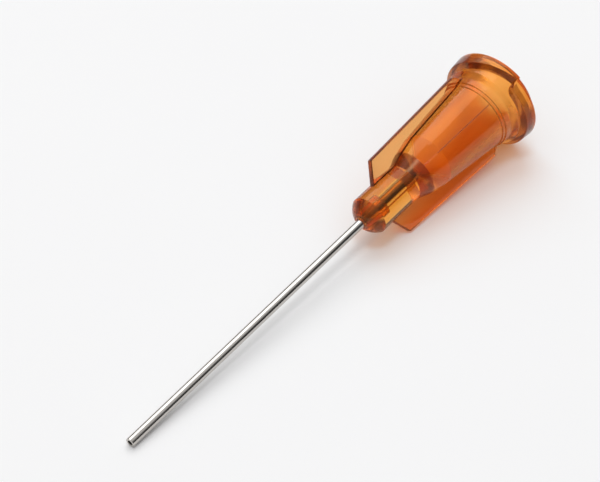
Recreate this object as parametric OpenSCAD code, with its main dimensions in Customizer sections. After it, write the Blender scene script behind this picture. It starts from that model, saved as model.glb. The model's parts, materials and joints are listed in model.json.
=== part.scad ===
// Dispensing needle tip: a straight steel cannula bonded into a moulded hub with a
// tapered socket, two helical locking lugs and two flat finger wings.
// It lies as it comes to rest: on the open end of the cannula, the rim of one lug
// and the front corner of the lower wing. Lengths are in millimetres.
//
// The hub is drawn about its own axis, +Z, from the front face of its nose at z = 0
// to its open rear face, and lie_down() then lays the finished piece on the table.

/* [Cannula] */
// Outside diameter of the steel tube
tube_od = 0.72; // [0.5:0.01:0.9]
// Bore of the steel tube
tube_id = 0.41; // [0.2:0.01:0.45]
// Length of tube that stands out of the hub
tube_reach = 25.4; // [12.7:0.1:38.1]
// Length of tube held inside the hub
tube_grip = 6; // [4.5:0.1:6.6]
// Radial clearance between the tube and its seat in the nose
tube_fit = 0.01; // [0.005:0.005:0.02]

/* [Nose] */
// Outside diameter of the nose
nose_d = 3.1; // [2.8:0.05:3.4]
// Length of the bevel at the front of the nose
bevel_l = 0.9; // [0.6:0.05:1.2]
// How far the bevel bulges from a straight cone
bevel_bulge = 0.1; // [0.02:0.02:0.16]
// Width of the flat ring left round the glue well at the front
nose_land = 0.08; // [0.05:0.01:0.3]
// Diameter of the glue well in the front of the nose
well_d = 1.05; // [1.0:0.05:1.5]
// Depth of the glue well
well_l = 2.1; // [1.2:0.1:3]
// Height that the adhesive climbs up the tube in front of the nose
meniscus_l = 0.15; // [0.1:0.05:0.3]

/* [Body] */
// Length of the hub, from the front of the nose to the rear face
hub_l = 16.8; // [16.4:0.1:20]
// Distance from the front to the end of the straight nose
nose_l = 5; // [4.7:0.1:5.3]
// Distance from the front to the rear edge of the shoulder
shoulder_z = 6.1; // [5.8:0.1:6.5]
// Diameter of the hub at the rear edge of the shoulder
shoulder_d = 3.9; // [3.7:0.05:4.1]
// Distance from the front to the foot of the long taper
taper_z = 7.5; // [7.1:0.1:7.9]
// Diameter at the foot of the long taper
taper_d = 4.5; // [4.4:0.05:4.7]
// Distance from the front to the rear end of the long taper
ring_z = 13.45; // [13:0.05:13.6]
// Diameter at the rear end of the long taper
ring_d = 5.6; // [5.4:0.05:5.8]
// Height of each ring step behind the taper
ring_step = 0.08; // [0.04:0.01:0.12]
// Width of the ring band behind the taper
ring_w = 0.9; // [0.7:0.05:1.0]
// Diameter of the collar that carries the lugs
collar_d = 6.7; // [6.4:0.05:6.9]
// Bevel on the rear edge of the collar
collar_bevel = 0.2; // [0.1:0.05:0.3]

/* [Socket] */
// Diameter of the tapered socket at the rear face
socket_d = 4.27; // [4.2:0.01:4.3]
// Depth of the tapered socket
socket_l = 8.8; // [8:0.1:9.2]
// Loss of diameter for each millimetre of depth
socket_taper = 0.06; // [0.05:0.005:0.07]
// Lead-in bevel at the mouth of the socket
mouth_bevel = 0.15; // [0.05:0.05:0.25]
// Length of the throat behind the tube's end
throat_l = 0.25; // [0.1:0.05:0.4]

/* [Locking lugs] */
// Diameter across the two lugs
lug_d = 7.8; // [7.5:0.05:8.2]
// Distance from a lug's rim, where it lies furthest back, to the rear face
lug_back = 0.4; // [0.35:0.05:0.6]
// Width of the rim where a lug begins
lug_w = 0.9; // [0.7:0.05:0.95]
// Width of the rim where a lug ends
lug_end_w = 0.35; // [0.3:0.05:0.6]
// How far a lug's rear edge moves back over its half turn
lug_creep = 0.3; // [0.1:0.05:0.4]
// Lead of the lock thread that a lug's front edge follows
thread_lead = 5; // [4:0.1:6]
// Slope of a lug's front flank, from square to the axis
front_flank_a = 27; // [15:1:30]
// Slope of a lug's rear flank, from square to the axis
rear_flank_a = 10; // [5:1:15]
// Draft of a lug's crest, which is highest at its rear edge
crest_a = 6; // [5.5:0.5:8]
// Direction of the moulding seam, from the lower wing
seam_a = 248; // [240:1:256]
// Height of the seam that stands proud of the hub
seam_h = 0.03; // [0.02:0.01:0.05]
// Width of the seam
seam_w = 0.1; // [0.08:0.01:0.15]

/* [Finger wings] */
// Distance from the axis to a wing's outer edge at the front
wing_front = 3.2; // [3.1:0.05:3.3]
// Distance from the axis to a wing's outer edge at the rear
wing_rear = 3.6; // [3.5:0.05:3.7]
// Distance from the front of the hub to a wing's outer front corner
wing_z = 3.3; // [3.2:0.1:3.8]
// How far a wing's front edge sweeps forward from that corner to the axis
wing_sweep = 1.8; // [1:0.1:2.4]
// Distance from the front of the hub to a wing's outer rear corner
wing_end = 13.5; // [13:0.1:14]
// Thickness of a wing
wing_t = 0.45; // [0.3:0.05:0.6]

/* [Hidden] */

tube_r = tube_od / 2;
seat_r = tube_r + tube_fit;
well_r = well_d / 2;
nose_r = nose_d / 2;
collar_r = collar_d / 2;
lug_r = lug_d / 2;

// The band behind the taper flares out to the collar and meets it here.
collar_z = ring_z + ring_w + (collar_r - ring_d / 2 - 2 * ring_step);

// Inside: the socket narrows to socket_end_r, then a funnel leads to the throat.
socket_end_r = (socket_d - socket_taper * socket_l) / 2;
socket_z = hub_l - socket_l;
throat_r = (tube_r + tube_id / 2) / 2;
funnel_z = tube_grip + throat_l;

// A lug's rim at an angle past the seam. Its front edge is square to the axis at
// first, and over the last stretch it climbs at the lock thread's lead.
lug_z = hub_l - lug_back - lug_creep - lug_w;
ramp_a = 180 - (lug_w + lug_creep - lug_end_w) * 360 / thread_lead;
function lug_front(a) = lug_z + max(0, a - ramp_a) * thread_lead / 360;
function lug_rear(a) = lug_z + lug_w + lug_creep * a / 180;

// The piece rests on the tube's end and on the rear edge of a lug's rim, which
// together set its slope; the wing's front corner then sets how far it is rolled.
function tilt_on(z) = atan2(lug_r - tube_r, z + tube_reach);
function roll_at(tilt) =
  90 - asin((tube_r + (wing_z + tube_reach) * tan(tilt)) / norm([wing_front, wing_t / 2]))
  + atan2(wing_t / 2, wing_front);
rest_z = lug_rear(roll_at(tilt_on(lug_z + lug_w)) + 360 - seam_a);
lie_tilt = tilt_on(rest_z);
lie_roll = roll_at(lie_tilt);

// The origin is the middle of the part's footprint, on the table.
front_x = -tube_reach * cos(lie_tilt) - tube_r * sin(lie_tilt);
rear_x = hub_l * cos(lie_tilt) + (collar_r - collar_bevel) * sin(lie_tilt);
axis_h = tube_reach * sin(lie_tilt) + tube_r * cos(lie_tilt);

eps = 0.01;
$fn = 96;

// Lays a piece that is drawn about +Z on the table, pointing along +X.
module lie_down()
  translate([-(front_x + rear_x) / 2, 0, axis_h])
    rotate([0, 90 - lie_tilt, 0])
      rotate([0, 0, -lie_roll])
        children();

// The outside of the hub, as radius and height, from the nose to the rear face. The
// bevel at the front bulges a little, and the rest is straight stretches.
function bevel_arc() =
  let (
    inner = [well_r + nose_land, 0],
    chord = [nose_r, bevel_l] - inner,
    out = [chord[1], -chord[0]] / norm(chord)
  ) [for (t = [0:1/6:1]) inner + chord * t + out * bevel_bulge * 4 * t * (1 - t)];
function hub_outline() = [
  each bevel_arc(),
  [nose_r, nose_l],
  [shoulder_d / 2, shoulder_z],
  [taper_d / 2, taper_z],
  [ring_d / 2, ring_z],
  [ring_d / 2 + ring_step, ring_z],
  [ring_d / 2 + ring_step, ring_z + ring_w / 3],
  [ring_d / 2 + 2 * ring_step, ring_z + ring_w / 3],
  [ring_d / 2 + 2 * ring_step, ring_z + ring_w],
  [collar_r, collar_z],
  [collar_r, hub_l - collar_bevel],
  [collar_r - collar_bevel, hub_l]
];

// The solid of revolution that the wings and lugs stand on.
module hub_barrel()
  rotate_extrude()
    polygon(concat([[0, 0]], hub_outline(), [[0, hub_l]]));

// Everything that is hollow: glue well, tube seat, throat, funnel and socket.
module hub_hollow()
  rotate_extrude()
    polygon([
      [0, -eps],
      [well_r, -eps],
      [well_r, well_l],
      [seat_r, well_l],
      [seat_r, tube_grip],
      [throat_r, tube_grip],
      [throat_r, funnel_z],
      [socket_end_r, socket_z],
      [socket_d / 2 - socket_taper * mouth_bevel / 2, hub_l - mouth_bevel],
      [socket_d / 2 + mouth_bevel, hub_l + eps],
      [0, hub_l + eps]
    ]);

// One flat wing, from the axis out to its straight outer edge.
module wing()
  rotate([90, 0, 0])
    translate([0, 0, -wing_t / 2])
      linear_extrude(wing_t)
        polygon([
          [0, wing_z - wing_sweep],
          [wing_front, wing_z],
          [wing_rear, wing_end],
          [ring_d / 2, wing_end + wing_rear - ring_d / 2],
          [0, wing_end + wing_rear - ring_d / 2]
        ]);

// One locking lug: a rib of four-sided section that runs round half a turn and a
// little into the next. Its flanks run down to inside the collar.
lug_steps = 60;
lug_span = 181;
lug_root_r = collar_r - 0.3;
function lug_section(a) =
  let (
    crest_r = lug_r - (lug_rear(a) - lug_front(a)) * tan(crest_a),
    foot_z = lug_front(a) - (crest_r - lug_root_r) * tan(front_flank_a),
    heel_z = lug_rear(a) + (lug_r - lug_root_r) * tan(rear_flank_a)
  ) [
    [lug_root_r * cos(a), lug_root_r * sin(a), foot_z],
    [crest_r * cos(a), crest_r * sin(a), lug_front(a)],
    [lug_r * cos(a), lug_r * sin(a), lug_rear(a)],
    [lug_root_r * cos(a), lug_root_r * sin(a), heel_z]
  ];
module lug()
  polyhedron(
    points = [for (i = [0:lug_steps]) each lug_section(lug_span * i / lug_steps)],
    faces = concat(
      [[3, 2, 1, 0]],
      [for (i = [0:lug_steps - 1], j = [0:3])
        let (k = (j + 1) % 4)
          each [
            [4 * i + j, 4 * i + k, 4 * (i + 1) + j],
            [4 * i + k, 4 * (i + 1) + k, 4 * (i + 1) + j]
          ]],
      [[for (j = [0:3]) 4 * lug_steps + j]]
    )
  );

// The fine raised line that the two halves of the mould leave along the long taper.
module seam()
  rotate([90, 0, 0])
    translate([0, 0, -seam_w / 2])
      linear_extrude(seam_w)
        polygon([
          [0, shoulder_z],
          [shoulder_d / 2 + seam_h, shoulder_z],
          [taper_d / 2 + seam_h, taper_z],
          [ring_d / 2 + seam_h, ring_z],
          [0, ring_z]
        ]);

module hub()
  color([0.91, 0.42, 0.07, 0.75])
    lie_down()
      difference() {
        union() {
          hub_barrel();
          for (side = [0, 180]) {
            rotate([0, 0, side]) wing();
            rotate([0, 0, side + seam_a]) {
              lug();
              seam();
            }
          }
        }
        hub_hollow();
      }

module cannula()
  color([0.78, 0.78, 0.76])
    lie_down()
      translate([0, 0, -tube_reach])
        difference() {
          cylinder(h = tube_reach + tube_grip, d = tube_od);
          translate([0, 0, -eps])
            cylinder(h = tube_reach + tube_grip + 2 * eps, d = tube_id);
        }

// The bead that holds the tube: it fills the well and climbs a little way up the tube.
module adhesive()
  color([0.86, 0.40, 0.10, 0.6])
    lie_down()
      rotate_extrude()
        polygon([
          [tube_r, -meniscus_l],
          [tube_r, well_l],
          [well_r, well_l],
          [well_r, 0],
          [(tube_r * 2 + well_r) / 3, -meniscus_l / 3]
        ]);

hub();
cannula();
adhesive();
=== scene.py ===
import json
import math

import bmesh
import bpy
import numpy as np
from mathutils import Matrix, Vector


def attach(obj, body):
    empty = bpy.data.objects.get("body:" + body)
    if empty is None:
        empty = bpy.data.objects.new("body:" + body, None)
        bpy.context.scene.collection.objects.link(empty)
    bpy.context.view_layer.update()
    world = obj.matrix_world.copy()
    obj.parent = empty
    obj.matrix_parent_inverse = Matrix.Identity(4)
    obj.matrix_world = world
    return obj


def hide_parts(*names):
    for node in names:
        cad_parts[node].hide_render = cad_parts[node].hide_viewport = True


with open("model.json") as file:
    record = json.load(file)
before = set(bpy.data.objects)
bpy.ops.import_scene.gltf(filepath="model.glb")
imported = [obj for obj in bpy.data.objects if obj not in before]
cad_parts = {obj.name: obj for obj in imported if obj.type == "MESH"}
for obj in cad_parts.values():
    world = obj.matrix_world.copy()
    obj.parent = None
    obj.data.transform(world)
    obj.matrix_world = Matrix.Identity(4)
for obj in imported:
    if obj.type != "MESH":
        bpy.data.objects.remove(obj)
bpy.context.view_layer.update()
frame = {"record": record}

# ---- Hub -------------------------------------------------------------------
# One injection moulding in clear amber plastic, polished outside: nose, long
# taper, ring bands, collar with two locking lugs, and two flat finger wings.
# Inside it holds the glue well, the tube's seat, a funnel and the tapered socket.

# Lengths are in millimetres, along and out from the hub's own axis, and the nose's
# front is at zero. Angles ending in _A are in degrees round the axis.
MM = 0.001
HUB_L = 16.8
NOSE_R = 1.55
NOSE_L = 5.0
BEVEL_L = 0.9
BEVEL_BULGE = 0.1
BEVEL_SOFT = 0.04
NOSE_LAND = 0.08
WELL_R = 0.525
WELL_L = 2.1
SHOULDER_Z = 6.1
SHOULDER_R = 1.95
TAPER_Z = 7.5
TAPER_R = 2.25
RING_Z = 13.45
RING_R = 2.8
RING_STEP = 0.08
RING_W = 0.9
COLLAR_R = 3.35
COLLAR_BEVEL = 0.2
SEAT_R = 0.37
TUBE_GRIP = 6.0
THROAT_R = 0.2825
THROAT_L = 0.25
SOCKET_R = 2.135
SOCKET_L = 8.8
SOCKET_TAPER = 0.06
MOUTH_BEVEL = 0.15
WING_FRONT = 3.2
WING_REAR = 3.6
WING_Z = 3.3
WING_SWEEP = 1.8
WING_END = 13.5
WING_T = 0.45
WING_FRONT_CORNER = 0.1
WING_REAR_CORNER = 0.3
WING_SOFT = 0.06
LUG_R = 3.9
LUG_BACK = 0.4
LUG_W = 0.9
LUG_END_W = 0.35
LUG_CREEP = 0.3
LUG_LEAD = 5.0
LUG_ROUND_A = 11
LUG_TIP_W = 0.05
LUG_SUNK = 0.3
LUG_FRONT_SOFT = 0.1
LUG_REAR_SOFT = 0.08
FRONT_FLANK = math.radians(27)
REAR_FLANK = math.radians(10)
CREST_DRAFT = math.radians(6)
SEAM_A = 248
SEAM_H = 0.03
SEAM_W = 0.1
SEAM_SUNK = 0.1
SEAM_SHOULDER = 0.2
SEAM_TOP_SHARE = 0.45
LIE_ROLL = math.radians(33.4507)

# The socket's mouth is a packed mount, and its place and direction say how the
# whole tip lies on the table.
mouth = next(m for m in frame["record"]["mounts"] if m["name"] == "tapered_socket")
along = Vector(mouth["axis"]).normalized()
lie_tilt = math.atan2(along.z, along.x)
front = Vector(mouth["pos_m"]) - along * HUB_L * MM
LAID = (
    Matrix.Translation(front)
    @ Matrix.Rotation(math.pi / 2 - lie_tilt, 4, "Y")
    @ Matrix.Rotation(-LIE_ROLL, 4, "Z")
)


def filleted(points, closed=False, steps=5):
    """A polyline of (x, y, fillet radius) with each marked corner rounded off.

    A fillet takes at most 45 percent of the shorter side next to its corner.
    """
    out = []
    n = len(points)
    for i, (x, y, radius) in enumerate(points):
        here = np.array([x, y], float)
        if radius <= 0 or (not closed and i in (0, n - 1)):
            out.append(tuple(here))
            continue
        before = np.array(points[i - 1][:2], float) - here
        after = np.array(points[(i + 1) % n][:2], float) - here
        room = 0.45 * min(np.linalg.norm(before), np.linalg.norm(after))
        before /= np.linalg.norm(before)
        after /= np.linalg.norm(after)
        half = math.acos(max(-1.0, min(1.0, float(before @ after)))) / 2
        reach = min(radius / math.tan(half), room)
        for k in range(steps + 1):
            t = k / steps
            start = here + before * reach
            end = here + after * reach
            out.append(tuple(start * (1 - t) ** 2 + here * 2 * t * (1 - t) + end * t**2))
    return out


def lathe(name, profile, segments=256):
    """A closed solid of revolution from (radius, height) points that run from axis to axis."""
    verts = []
    rings = []
    for r, z in profile:
        if r < 1e-9:
            rings.append([len(verts)])
            verts.append((0.0, 0.0, z))
            continue
        rings.append(list(range(len(verts), len(verts) + segments)))
        for k in range(segments):
            a = 2 * math.pi * k / segments
            verts.append((r * math.cos(a), r * math.sin(a), z))
    faces = []
    for low, high in zip(rings, rings[1:]):
        for k in range(segments):
            m = (k + 1) % segments
            if len(low) == 1:
                faces.append((low[0], high[m], high[k]))
            elif len(high) == 1:
                faces.append((low[k], low[m], high[0]))
            else:
                faces.append((low[k], low[m], high[m], high[k]))
    return solid(name, verts, faces)


def solid(name, verts, faces):
    """An object from plain lists, with its normals turned outwards."""
    mesh = bpy.data.meshes.new(name)
    mesh.from_pydata(verts, [], faces)
    bm = bmesh.new()
    bm.from_mesh(mesh)
    bmesh.ops.recalc_face_normals(bm, faces=bm.faces)
    bm.to_mesh(mesh)
    bm.free()
    made = bpy.data.objects.new(name, mesh)
    bpy.context.scene.collection.objects.link(made)
    return made


def joined(base, others, operation):
    """base united with the others, or with the others cut away. The others are used up."""
    for other in others:
        step = base.modifiers.new(operation, "BOOLEAN")
        step.operation = operation
        step.solver = "EXACT"
        step.object = other
    bpy.context.view_layer.update()
    seen = base.evaluated_get(bpy.context.evaluated_depsgraph_get())
    mesh = bpy.data.meshes.new_from_object(seen)
    base.modifiers.clear()
    base.data = mesh
    for other in others:
        bpy.data.objects.remove(other)
    return base


def settle(piece, sharp_deg=32):
    """Lays a mesh in millimetres down in metres, welds doubled points and shades it smooth."""
    piece.data.transform(LAID @ Matrix.Scale(MM, 4))
    bm = bmesh.new()
    bm.from_mesh(piece.data)
    bmesh.ops.remove_doubles(bm, verts=bm.verts, dist=1e-8)
    bmesh.ops.dissolve_degenerate(bm, edges=bm.edges, dist=1e-8)
    bm.to_mesh(piece.data)
    bm.free()
    for face in piece.data.polygons:
        face.use_smooth = True
    piece.data.set_sharp_from_angle(angle=math.radians(sharp_deg))
    return piece


def bevel_arc(count=10):
    """The nose's front bevel, which bulges a little from a straight cone."""
    inner = np.array([WELL_R + NOSE_LAND, 0.0])
    chord = np.array([NOSE_R, BEVEL_L]) - inner
    out = np.array([chord[1], -chord[0]]) / np.linalg.norm(chord)
    return [
        tuple(inner + chord * t + out * BEVEL_BULGE * 4 * t * (1 - t)) + (BEVEL_SOFT,)
        for t in np.linspace(0, 1, count)
    ]


collar_z = RING_Z + RING_W + COLLAR_R - RING_R - 2 * RING_STEP
# Each point of the outline and of the bore is (radius, height, fillet).
outline = [
    (0, 0, 0),
    *bevel_arc(),
    (NOSE_R, NOSE_L, 0.12),
    (SHOULDER_R, SHOULDER_Z, 0.06),
    (TAPER_R, TAPER_Z, 0.2),
    (RING_R, RING_Z, 0.02),
    (RING_R + RING_STEP, RING_Z, 0.03),
    (RING_R + RING_STEP, RING_Z + RING_W / 3, 0.02),
    (RING_R + 2 * RING_STEP, RING_Z + RING_W / 3, 0.03),
    (RING_R + 2 * RING_STEP, RING_Z + RING_W, 0.3),
    (COLLAR_R, collar_z, 0.15),
    (COLLAR_R, HUB_L - COLLAR_BEVEL, 0.08),
    (COLLAR_R - COLLAR_BEVEL, HUB_L, 0.06),
    (0, HUB_L, 0),
]
barrel = lathe("hub", filleted(outline))

socket_end_r = SOCKET_R - SOCKET_TAPER * SOCKET_L / 2
bore = [
    (0, -1, 0),
    (WELL_R, -1, 0),
    (WELL_R, WELL_L, 0.05),
    (SEAT_R, WELL_L, 0.02),
    (SEAT_R, TUBE_GRIP, 0),
    (THROAT_R, TUBE_GRIP, 0),
    (THROAT_R, TUBE_GRIP + THROAT_L, 0.1),
    (socket_end_r, HUB_L - SOCKET_L, 0.15),
    (SOCKET_R - SOCKET_TAPER * MOUTH_BEVEL / 2, HUB_L - MOUTH_BEVEL, 0.03),
    (SOCKET_R + MOUTH_BEVEL, HUB_L, 0.03),
    (SOCKET_R + MOUTH_BEVEL, HUB_L + 1, 0),
    (0, HUB_L + 1, 0),
]
hollow = lathe("hollow", filleted(bore))


def wing(turn):
    """One flat wing with its corners and edges softened, from the axis out."""
    tail = WING_END + WING_REAR - RING_R
    plan = filleted(
        [
            (0, WING_Z - WING_SWEEP, 0),
            (WING_FRONT, WING_Z, WING_FRONT_CORNER),
            (WING_REAR, WING_END, WING_REAR_CORNER),
            (RING_R, tail, 0),
            (0, tail, 0),
        ],
        closed=True,
    )
    n = len(plan)
    verts = [(x, s * WING_T / 2, z) for s in (-1, 1) for x, z in plan]
    faces = [tuple(range(n)), tuple(range(2 * n - 1, n - 1, -1))]
    faces += [(k, (k + 1) % n, n + (k + 1) % n, n + k) for k in range(n)]
    made = solid("wing", verts, faces)
    bm = bmesh.new()
    bm.from_mesh(made.data)
    rim = [
        e
        for e in bm.edges
        if abs(e.verts[0].co.y - e.verts[1].co.y) < 1e-6
        and max(e.verts[0].co.x, e.verts[1].co.x) > 0.1
    ]
    bmesh.ops.bevel(bm, geom=rim, offset=WING_SOFT, segments=3, profile=0.5, affect="EDGES")
    bm.to_mesh(made.data)
    bm.free()
    made.data.transform(Matrix.Rotation(turn, 4, "Z"))
    return made


lug_z = HUB_L - LUG_BACK - LUG_CREEP - LUG_W
ramp_a = 180 - (LUG_W + LUG_CREEP - LUG_END_W) * 360 / LUG_LEAD
lug_root_r = COLLAR_R - LUG_SUNK


def lug(turn, steps=182, span=181):
    """One locking lug: a rib round half a turn, rounded where it starts.

    Its last stretch climbs like a thread.
    """
    rings = []
    for i in range(steps):
        a = span * i / (steps - 1)
        start = max(0, 1 - a / LUG_ROUND_A)
        edge_z = lug_z + max(0, a - ramp_a) * LUG_LEAD / 360
        edge_z += (1 - math.sqrt(1 - start**2)) * (LUG_W - LUG_TIP_W)
        rear_z = lug_z + LUG_W + LUG_CREEP * a / 180
        crest_r = LUG_R - (rear_z - edge_z) * math.tan(CREST_DRAFT)
        section = filleted(
            [
                (lug_root_r, edge_z - (crest_r - lug_root_r) * math.tan(FRONT_FLANK), 0),
                (crest_r, edge_z, LUG_FRONT_SOFT),
                ((crest_r + LUG_R) / 2, (edge_z + rear_z) / 2, 0),
                (LUG_R, rear_z, LUG_REAR_SOFT),
                (lug_root_r, rear_z + (LUG_R - lug_root_r) * math.tan(REAR_FLANK), 0),
            ],
            closed=True,
        )
        t = turn + math.radians(a)
        rings.append([(r * math.cos(t), r * math.sin(t), z) for r, z in section])
    n = len(rings[0])
    verts = [p for ring in rings for p in ring]
    faces = [tuple(range(n)), tuple(range((steps - 1) * n, steps * n))]
    for i in range(steps - 1):
        for k in range(n):
            m = (k + 1) % n
            faces.append((i * n + k, i * n + m, (i + 1) * n + m, (i + 1) * n + k))
    return solid("lug", verts, faces)


def seam(turn):
    """The fine raised line that the two halves of the mould leave along the long taper."""
    section = (
        (-1, -SEAM_SUNK),
        (-1, SEAM_SHOULDER),
        (-SEAM_TOP_SHARE, 1),
        (SEAM_TOP_SHARE, 1),
        (1, SEAM_SHOULDER),
        (1, -SEAM_SUNK),
    )
    path = (
        (SHOULDER_R, SHOULDER_Z - 0.02),
        (TAPER_R, TAPER_Z),
        (RING_R, RING_Z + 0.05),
    )
    verts = [
        (r + SEAM_H * height, side * SEAM_W / 2, z)
        for r, z in path
        for side, height in section
    ]
    n = len(section)
    faces = [tuple(range(n)), tuple(range(2 * n, 3 * n))]
    for i in range(2):
        for k in range(n):
            m = (k + 1) % n
            faces.append((i * n + k, i * n + m, (i + 1) * n + m, (i + 1) * n + k))
    made = solid("seam", verts, faces)
    made.data.transform(Matrix.Rotation(turn, 4, "Z"))
    return made


extras = []
for side in (0, math.pi):
    extras.append(wing(side))
    extras.append(lug(side + math.radians(SEAM_A)))
    extras.append(seam(side + math.radians(SEAM_A)))
hub = joined(barrel, extras, "UNION")
hub = joined(hub, [hollow], "DIFFERENCE")
hub.name = "amber_hub"
settle(hub)

# Each face of the hub carries two masks: a wall mask that deepens the resin's tint, from the thin
# wings (0) to the solid shoulder (1), and how matt the mould left it.
# The wall mask stands partly for how deep the resin is and partly for painted shade. The wing
# edges, the seam, the ring steps, the lip's front and the lugs' front flanks under the rims get
# dark painted shade.
# The core pin that forms the socket leaves the mattest skin (1).
WALL_SHADE_MASK = "wall"
MATT_MASK = "matt"
ON_SOCKET = (0.3, 1.0)
ON_WING = (0.0, 0.0)
ON_WING_TAIL = (0.0, 0.25)
# The next two darken the wings' thin edges and the seam into dark lines with painted shade.
ON_WING_EDGE = (1.0, 0.8)
ON_SEAM = (0.9, 0.0)
ON_BEVEL = (0.3, 0.6)
ON_NOSE = (0.55, 0.0)
ON_SHOULDER = (0.99, 0.6)
ON_TAPER = (0.3, 0.0)
ON_LIP = (0.45, 0.0)
# The next three darken the lip's front, the ring steps and the lugs' front flanks with painted
# shade.
ON_LIP_FRONT = (0.99, 0.0)
ON_BAND_STEP = (0.99, 0.25)
ON_LUG_FRONT = (0.92, 0.5)
ON_COLLAR = (0.45, 0.25)
NOSE_FACE_R = 0.6
BARREL_Z = (0, BEVEL_L, NOSE_L, SHOULDER_Z, TAPER_Z, RING_Z)
BARREL_R = (NOSE_FACE_R, NOSE_R, NOSE_R, SHOULDER_R, TAPER_R, RING_R)
SHOULDER_FROM = NOSE_L - 0.2
LIP_FROM = RING_Z - 0.05
WING_TAIL = WING_END + 0.8
# How near a face's middle lies to the form that it belongs to, or how far off another.
SOCKET_NEAR = 0.03
WING_NEAR = 0.01
WING_CLEAR = 0.05
SEAM_CLEAR = 0.006
LUG_CLEAR = 0.02
# How squarely a face looks to the side or to the front.
SIDEWAYS = 0.95
FRONTWARDS = -0.4
to_hub = (LAID @ Matrix.Scale(MM, 4)).inverted()
turn_to_hub = LAID.to_3x3().inverted()


def skin_at(spot, normal):
    """The two masks' values at a place on the hub, from its place and the way it faces."""
    z = spot.z
    r = math.hypot(spot.x, spot.y)
    socket_wall = socket_end_r + (z - HUB_L + SOCKET_L) * SOCKET_TAPER / 2
    if z > TUBE_GRIP + THROAT_L and r < socket_wall + SOCKET_NEAR:
        return ON_SOCKET
    out = r - np.interp(z, BARREL_Z, BARREL_R)
    if z < WING_TAIL and out > WING_CLEAR and abs(spot.y) < WING_T / 2 + WING_NEAR:
        if abs(normal.y) <= SIDEWAYS:
            return ON_WING_EDGE
        return ON_WING_TAIL if z > RING_Z else ON_WING
    if TAPER_Z < z < RING_Z and out > SEAM_CLEAR:
        return ON_SEAM
    for end, skin in (
        (BEVEL_L, ON_BEVEL),
        (SHOULDER_FROM, ON_NOSE),
        (SHOULDER_Z, ON_SHOULDER),
        (LIP_FROM, ON_TAPER),
    ):
        if z < end:
            return skin
    faces_front = normal.z < FRONTWARDS
    if z <= RING_Z:
        return ON_LIP_FRONT if faces_front else ON_LIP
    if r < RING_R + 2 * RING_STEP and faces_front:
        return ON_BAND_STEP
    if r > COLLAR_R + LUG_CLEAR and (faces_front or z < lug_z + LUG_W / 2):
        return ON_LUG_FRONT
    return ON_COLLAR


# Each face gets its two masks. The wall mask carries the painted shade on edges, steps, seam and
# lug flanks.
wall_shade_mask = hub.data.attributes.new(WALL_SHADE_MASK, "FLOAT", "FACE")
matt_mask = hub.data.attributes.new(MATT_MASK, "FLOAT", "FACE")
for face in hub.data.polygons:
    wall, matt = skin_at(to_hub @ face.center, turn_to_hub @ face.normal)
    wall_shade_mask.data[face.index].value = wall
    matt_mask.data[face.index].value = matt


def new_material(name):
    """An empty node material, ready for the shader and its output."""
    made = bpy.data.materials.new(name)
    made.use_nodes = True
    made.node_tree.nodes.clear()
    return made, made.node_tree.nodes, made.node_tree.links


def streak_group():
    """Fine lines that run along the axis, as flow marks in plastic or drawing marks in steel."""
    group = bpy.data.node_groups.new("axial_streaks", "ShaderNodeTree")
    face = group.interface
    face.new_socket("Across", in_out="INPUT", socket_type="NodeSocketFloat")
    face.new_socket("Along", in_out="INPUT", socket_type="NodeSocketFloat")
    face.new_socket("Streak", in_out="OUTPUT", socket_type="NodeSocketFloat")
    nodes, links = group.nodes, group.links
    entry = nodes.new("NodeGroupInput")
    leave = nodes.new("NodeGroupOutput")
    place = nodes.new("ShaderNodeTexCoord")
    stand = nodes.new("ShaderNodeMapping")
    stand.vector_type = "TEXTURE"
    stand.inputs["Location"].default_value = LAID.to_translation()
    stand.inputs["Rotation"].default_value = LAID.to_euler()
    scale = nodes.new("ShaderNodeCombineXYZ")
    spread = nodes.new("ShaderNodeVectorMath")
    spread.operation = "MULTIPLY"
    noise = nodes.new("ShaderNodeTexNoise")
    noise.inputs["Scale"].default_value = 1.0
    noise.inputs["Detail"].default_value = 3.0
    links.new(entry.outputs["Across"], scale.inputs["X"])
    links.new(entry.outputs["Across"], scale.inputs["Y"])
    links.new(entry.outputs["Along"], scale.inputs["Z"])
    links.new(place.outputs["Object"], stand.inputs["Vector"])
    links.new(stand.outputs["Vector"], spread.inputs[0])
    links.new(scale.outputs["Vector"], spread.inputs[1])
    links.new(spread.outputs["Vector"], noise.inputs["Vector"])
    links.new(noise.outputs["Fac"], leave.inputs["Streak"])
    return group


streaks = streak_group()


def wall_ramp(nodes, links, depth, stops):
    """A ramp through the (position, colour) stops, driven by a mask value such as the wall mask,
    which holds resin depth and painted shade.
    """
    ramp = nodes.new("ShaderNodeValToRGB")
    first, last = ramp.color_ramp.elements
    first.position, first.color = stops[0][0], (*stops[0][1], 1)
    last.position, last.color = stops[-1][0], (*stops[-1][1], 1)
    for position, colour in stops[1:-1]:
        stop = ramp.color_ramp.elements.new(position)
        stop.color = (*colour, 1)
    links.new(depth, ramp.inputs["Fac"])
    return ramp.outputs["Color"]


MATTEST = 0.32


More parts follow.
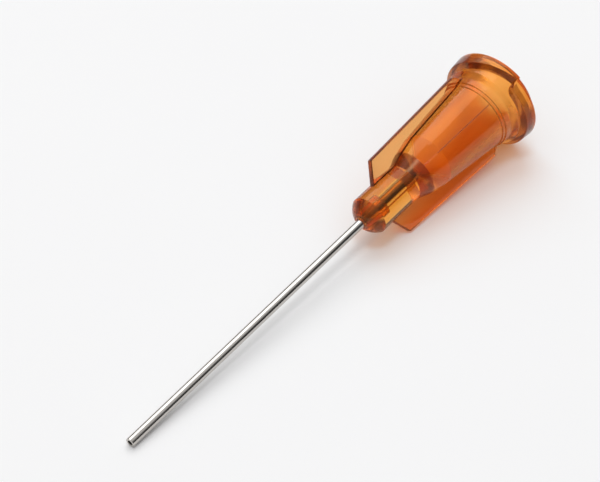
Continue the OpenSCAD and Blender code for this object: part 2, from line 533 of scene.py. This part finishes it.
def amber(name, absorb, tints, passed, clear, rough_low, rough_high):
    """Clear amber resin, which tints light at each wall and along the way inside.

    The tints run deeper by the wall mask, which holds how thick the wall is together with painted
    shade on edges, steps, seam and flanks. They also deepen as painted shade where a face is seen
    edge-on. Light on its way from the lamps or off the table crosses in a straight line and takes
    the passed colour at each wall instead.
    """
    made, nodes, links = new_material(name)
    shader = nodes.new("ShaderNodeBsdfPrincipled")
    shader.inputs["Transmission Weight"].default_value = clear
    shader.inputs["IOR"].default_value = 1.5
    shader.inputs["Specular Tint"].default_value = (1.0, 0.7, 0.42, 1)
    flow = nodes.new("ShaderNodeGroup")
    flow.node_tree = streaks
    flow.inputs["Across"].default_value = 1800.0
    flow.inputs["Along"].default_value = 160.0
    wall = nodes.new("ShaderNodeAttribute")
    wall.attribute_name = WALL_SHADE_MASK
    uneven = nodes.new("ShaderNodeMath")
    uneven.operation = "MULTIPLY_ADD"
    uneven.inputs[1].default_value = 0.12
    # Painted shade: the tints deepen where a face is seen edge-on, which darkens the silhouettes.
    edge_on = nodes.new("ShaderNodeLayerWeight")
    edge_on.inputs["Blend"].default_value = 0.5
    deeper = nodes.new("ShaderNodeMapRange")
    deeper.interpolation_type = "SMOOTHSTEP"
    deeper.inputs["From Min"].default_value = 0.45
    deeper.inputs["From Max"].default_value = 0.95
    deeper.inputs["To Max"].default_value = 0.35
    total = nodes.new("ShaderNodeMath")
    total.operation = "ADD"
    total.use_clamp = True
    rough = nodes.new("ShaderNodeMapRange")
    rough.inputs["From Min"].default_value = 0.35
    rough.inputs["From Max"].default_value = 0.65
    rough.inputs["To Min"].default_value = rough_low
    rough.inputs["To Max"].default_value = rough_high
    skin = nodes.new("ShaderNodeAttribute")
    skin.attribute_name = MATT_MASK
    matt = nodes.new("ShaderNodeMath")
    matt.operation = "MULTIPLY_ADD"
    matt.inputs[1].default_value = MATTEST
    place = nodes.new("ShaderNodeTexCoord")
    grain = nodes.new("ShaderNodeTexNoise")
    grain.inputs["Scale"].default_value = 5000.0
    grain.inputs["Detail"].default_value = 2.0
    bump = nodes.new("ShaderNodeBump")
    bump.inputs["Strength"].default_value = 0.25
    bump.inputs["Distance"].default_value = 0.000004
    depth = nodes.new("ShaderNodeVolumeAbsorption")
    strongest = max(absorb)
    depth.inputs["Density"].default_value = strongest
    depth.inputs["Color"].default_value = [1 - a / strongest for a in absorb] + [1.0]
    links.new(flow.outputs["Streak"], uneven.inputs[0])
    links.new(wall.outputs["Fac"], uneven.inputs[2])
    links.new(edge_on.outputs["Facing"], deeper.inputs["Value"])
    links.new(uneven.outputs["Value"], total.inputs[0])
    links.new(deeper.outputs["Result"], total.inputs[1])
    links.new(wall_ramp(nodes, links, total.outputs["Value"], tints), shader.inputs["Base Color"])
    links.new(flow.outputs["Streak"], rough.inputs["Value"])
    links.new(skin.outputs["Fac"], matt.inputs[0])
    links.new(rough.outputs["Result"], matt.inputs[2])
    links.new(matt.outputs["Value"], shader.inputs["Roughness"])
    links.new(place.outputs["Object"], grain.inputs["Vector"])
    links.new(grain.outputs["Fac"], bump.inputs["Height"])
    links.new(bump.outputs["Normal"], shader.inputs["Normal"])

    ray = nodes.new("ShaderNodeLightPath")
    open_way = nodes.new("ShaderNodeBsdfTransparent")
    if len(passed) > 1:
        links.new(wall_ramp(nodes, links, wall.outputs["Fac"], passed), open_way.inputs["Color"])
    else:
        open_way.inputs["Color"].default_value = (*passed[0][1], 1)
    surface = shader.outputs["BSDF"]
    for kind in ("Is Diffuse Ray", "Is Shadow Ray"):
        choice = nodes.new("ShaderNodeMixShader")
        links.new(ray.outputs[kind], choice.inputs["Fac"])
        links.new(surface, choice.inputs[1])
        links.new(open_way.outputs["BSDF"], choice.inputs[2])
        surface = choice.outputs["Shader"]
    leave = nodes.new("ShaderNodeOutputMaterial")
    links.new(surface, leave.inputs["Surface"])
    links.new(depth.outputs["Volume"], leave.inputs["Volume"])
    return made


hub_plastic = amber(
    "clear_amber_plastic",
    absorb=(30, 140, 420),
    tints=(
        (0.06, (1.0, 0.53, 0.21)),
        (0.36, (1.0, 0.49, 0.12)),
        (0.5, (1.0, 0.42, 0.12)),
        (0.61, (1.0, 0.57, 0.17)),
        (0.85, (0.75, 0.3, 0.06)),
        (1.0, (0.25, 0.055, 0.01)),
    ),
    passed=((0.0, (0.97, 0.54, 0.3)), (0.3, (0.8, 0.59, 0.38)), (1.0, (0.76, 0.54, 0.34))),
    clear=0.98,
    rough_low=0.02,
    rough_high=0.06,
)
hub.data.materials.clear()
hub.data.materials.append(hub_plastic)
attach(hub, "root")
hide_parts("hub")

# ---- Cannula ---------------------------------------------------------------
# A straight length of drawn stainless tube, cut square and lightly deburred.
# Its rear end stands on the ledge in front of the throat and the bead holds it.
TUBE_R = 0.36
TUBE_BORE_R = 0.205
TUBE_REACH = 25.4
LIP = 0.025
MENISCUS_L = 0.15

tube_section = filleted(
    [
        (TUBE_R, -TUBE_REACH, LIP),
        (TUBE_R, -MENISCUS_L - 0.02, 0),
        (TUBE_R, -MENISCUS_L + 0.02, 0),
        (TUBE_R, TUBE_GRIP, LIP),
        (TUBE_BORE_R, TUBE_GRIP, LIP),
        (TUBE_BORE_R, -TUBE_REACH, LIP),
    ],
    closed=True,
    steps=4,
)


def ring_solid(name, section, segments=160):
    """A closed ring from a closed (radius, height) section that stays clear of the axis."""
    n = len(section)
    verts = []
    for k in range(segments):
        a = 2 * math.pi * k / segments
        verts += [(r * math.cos(a), r * math.sin(a), z) for r, z in section]
    faces = []
    for k in range(segments):
        m = (k + 1) % segments
        for i in range(n):
            j = (i + 1) % n
            faces.append((k * n + i, m * n + i, m * n + j, k * n + j))
    return solid(name, verts, faces)


cannula = ring_solid("steel_cannula", tube_section)
settle(cannula)

# The length inside the hub is painted darker and browner than the bare tube, as painted shade for
# the tube seen inside the plastic.
BURIED_SHADE_MASK = "buried_shade"
buried_shade = cannula.data.attributes.new(BURIED_SHADE_MASK, "FLOAT", "POINT")
for vertex in cannula.data.vertices:
    buried_shade.data[vertex.index].value = float((to_hub @ vertex.co).z > -MENISCUS_L)

steel, nodes, links = new_material("drawn_stainless")
shader = nodes.new("ShaderNodeBsdfPrincipled")
shader.inputs["Metallic"].default_value = 1.0
drawn = nodes.new("ShaderNodeGroup")
drawn.node_tree = streaks
drawn.inputs["Across"].default_value = 14000.0
drawn.inputs["Along"].default_value = 220.0
tone = nodes.new("ShaderNodeMix")
tone.data_type = "RGBA"
tone.inputs["A"].default_value = (0.50, 0.475, 0.445, 1)
tone.inputs["B"].default_value = (0.60, 0.57, 0.535, 1)
gloss = nodes.new("ShaderNodeMapRange")
gloss.inputs["To Min"].default_value = 0.08
gloss.inputs["To Max"].default_value = 0.22
marks = nodes.new("ShaderNodeBump")
marks.inputs["Strength"].default_value = 0.2
marks.inputs["Distance"].default_value = 0.000002
leave = nodes.new("ShaderNodeOutputMaterial")
inside_shade = nodes.new("ShaderNodeAttribute")
inside_shade.attribute_name = BURIED_SHADE_MASK
body = nodes.new("ShaderNodeMix")
body.data_type = "RGBA"
# Painted shade: the darker brown colour of the length inside the hub.
body.inputs["B"].default_value = (0.29, 0.24, 0.18, 1)
links.new(inside_shade.outputs["Fac"], body.inputs["Factor"])
links.new(tone.outputs["Result"], body.inputs["A"])
links.new(drawn.outputs["Streak"], tone.inputs["Factor"])
links.new(drawn.outputs["Streak"], gloss.inputs["Value"])
links.new(drawn.outputs["Streak"], marks.inputs["Height"])
links.new(body.outputs["Result"], shader.inputs["Base Color"])
links.new(gloss.outputs["Result"], shader.inputs["Roughness"])
links.new(marks.outputs["Normal"], shader.inputs["Normal"])
links.new(shader.outputs["BSDF"], leave.inputs["Surface"])
cannula.data.materials.append(steel)
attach(cannula, "root")
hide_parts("cannula")

# ---- Adhesive --------------------------------------------------------------
# The bead of clear adhesive that fills the glue well and climbs a little way up
# the tube. It wets the plastic, so it reaches a hair into the wall round it.
WETTING = 0.012
BEAD_INNER_R = TUBE_R + 0.002
BEAD_FRONT = -0.002

bead_outer_r = WELL_R + WETTING
bead_section = [
    (BEAD_INNER_R, -MENISCUS_L),
    (BEAD_INNER_R, WELL_L + WETTING),
    (bead_outer_r, WELL_L + WETTING),
    (bead_outer_r, BEAD_FRONT),
]
for t in np.linspace(0.1, 0.9, 8):
    climb = (1 - (1 - t) ** 2) ** 2
    r = bead_outer_r - (bead_outer_r - TUBE_R) * t
    bead_section.append((r, BEAD_FRONT - MENISCUS_L * climb))
bead = ring_solid("glue_bead", bead_section)
settle(bead)
adhesive = amber(
    "cured_adhesive",
    absorb=(30, 300, 600),
    tints=((0.0, (1.0, 0.80, 0.52)), (0.12, (1.0, 0.75, 0.45))),
    passed=((0.0, (0.9, 0.8, 0.65)),),
    clear=0.97,
    rough_low=0.03,
    rough_high=0.1,
)
bead.data.materials.append(adhesive)
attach(bead, "root")
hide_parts("adhesive")

# ---- Table, light and camera -----------------------------------------------
# A pale matt table under a large softbox that hangs behind and to the left and a
# small lamp overhead, in a room that is bright above and dark near the horizon and
# on its right-hand side.
floor = solid("table", [(-2, -2, 0), (2, -2, 0), (2, 2, 0), (-2, 2, 0)], [(0, 1, 2, 3)])
table, nodes, links = new_material("pale_matt_table")
shader = nodes.new("ShaderNodeBsdfPrincipled")
shader.inputs["Specular IOR Level"].default_value = 0.1
place = nodes.new("ShaderNodeTexCoord")
mottle = nodes.new("ShaderNodeTexNoise")
mottle.inputs["Scale"].default_value = 60.0
shade = nodes.new("ShaderNodeMix")
shade.data_type = "RGBA"
shade.inputs["A"].default_value = (0.925, 0.925, 0.925, 1)
shade.inputs["B"].default_value = (0.935, 0.935, 0.935, 1)
rough = nodes.new("ShaderNodeMapRange")
rough.inputs["To Min"].default_value = 0.85
rough.inputs["To Max"].default_value = 0.95
leave = nodes.new("ShaderNodeOutputMaterial")
links.new(place.outputs["Object"], mottle.inputs["Vector"])
links.new(mottle.outputs["Fac"], shade.inputs["Factor"])
links.new(shade.outputs["Result"], shader.inputs["Base Color"])
links.new(mottle.outputs["Fac"], rough.inputs["Value"])
links.new(rough.outputs["Result"], shader.inputs["Roughness"])
links.new(shader.outputs["BSDF"], leave.inputs["Surface"])
floor.data.materials.append(table)

ROOM_LEVELS = ((0.0, 0.09), (0.25, 0.2), (0.45, 0.46), (0.65, 0.58), (0.85, 0.74))
DARK_AZ = math.radians(-53)
DARK_EL = math.radians(17)
DARK_CORE = math.radians(18)
DARK_RIM = math.radians(42)
DARK_LEVEL = 0.18

room = bpy.data.worlds.new("studio_room")
room.use_nodes = True
bpy.context.scene.world = room
nodes, links = room.node_tree.nodes, room.node_tree.links
nodes.clear()
place = nodes.new("ShaderNodeTexCoord")
parts = nodes.new("ShaderNodeSeparateXYZ")
ramp = nodes.new("ShaderNodeValToRGB")
for position, level in ROOM_LEVELS:
    stop = ramp.color_ramp.elements.new(position)
    stop.color = (level, level, level * 1.01, 1)
ramp.color_ramp.elements.remove(ramp.color_ramp.elements[0])
ramp.color_ramp.elements.remove(ramp.color_ramp.elements[-1])
dark_side = nodes.new("ShaderNodeVectorMath")
dark_side.operation = "DOT_PRODUCT"
dark_side.inputs[1].default_value = (
    math.cos(DARK_EL) * math.cos(DARK_AZ),
    math.cos(DARK_EL) * math.sin(DARK_AZ),
    math.sin(DARK_EL),
)
dimmed = nodes.new("ShaderNodeMapRange")
dimmed.interpolation_type = "SMOOTHSTEP"
dimmed.inputs["From Min"].default_value = math.cos(DARK_RIM)
dimmed.inputs["From Max"].default_value = math.cos(DARK_CORE)
dimmed.inputs["To Min"].default_value = 1.0
dimmed.inputs["To Max"].default_value = DARK_LEVEL
glow = nodes.new("ShaderNodeBackground")
leave = nodes.new("ShaderNodeOutputWorld")
links.new(place.outputs["Generated"], parts.inputs["Vector"])
links.new(place.outputs["Generated"], dark_side.inputs[0])
links.new(dark_side.outputs["Value"], dimmed.inputs["Value"])
links.new(parts.outputs["Z"], ramp.inputs["Fac"])
links.new(ramp.outputs["Color"], glow.inputs["Color"])
links.new(dimmed.outputs["Result"], glow.inputs["Strength"])
links.new(glow.outputs["Background"], leave.inputs["Surface"])


def hang_lamp(name, azimuth, elevation, width, radiance, mirrored=True):
    """A square lamp of the given radiance, LAMP_AWAY from the object and facing it."""
    a, e = math.radians(azimuth), math.radians(elevation)
    toward = Vector((math.cos(e) * math.cos(a), math.cos(e) * math.sin(a), math.sin(e)))
    lamp = bpy.data.lights.new(name, "AREA")
    lamp.shape = "RECTANGLE"
    lamp.size = width
    lamp.size_y = width
    lamp.energy = radiance * math.pi * width * width
    held = bpy.data.objects.new(name, lamp)
    facing = toward.to_track_quat("Z", "Y").to_matrix().to_4x4()
    held.matrix_world = Matrix.Translation(toward * LAMP_AWAY) @ facing
    held.visible_glossy = mirrored
    bpy.context.scene.collection.objects.link(held)


LAMP_AWAY = 1.0
hang_lamp("softbox", azimuth=52, elevation=54, width=0.85, radiance=1.82)
hang_lamp("top_lamp", azimuth=210, elevation=83, width=0.24, radiance=10.0, mirrored=False)

CAM_AZ = math.radians(39.48)
CAM_EL = math.radians(44.21)
CAM_ROLL = math.radians(0.07)
CAM_AT = Vector((-0.1089, -0.08733, 0.13955))
SENSOR_MM = 36
LENS_MM = 162.72
look = Vector(
    (
        math.cos(CAM_EL) * math.cos(CAM_AZ),
        math.cos(CAM_EL) * math.sin(CAM_AZ),
        -math.sin(CAM_EL),
    )
)
right = Vector((math.sin(CAM_AZ), -math.cos(CAM_AZ), 0))
up = right.cross(look)
level_right = right * math.cos(CAM_ROLL) + up * math.sin(CAM_ROLL)
level_up = up * math.cos(CAM_ROLL) - right * math.sin(CAM_ROLL)
lens = bpy.data.cameras.new("camera")
lens.sensor_width = SENSOR_MM
lens.lens = LENS_MM
lens.clip_start = 0.005
lens.clip_end = 20
camera = bpy.data.objects.new("camera", lens)
turned = Matrix((level_right, level_up, -look)).transposed().to_4x4()
camera.matrix_world = Matrix.Translation(CAM_AT) @ turned
bpy.context.scene.collection.objects.link(camera)
bpy.context.scene.camera = camera
bpy.context.scene.view_settings.view_transform = "Standard"
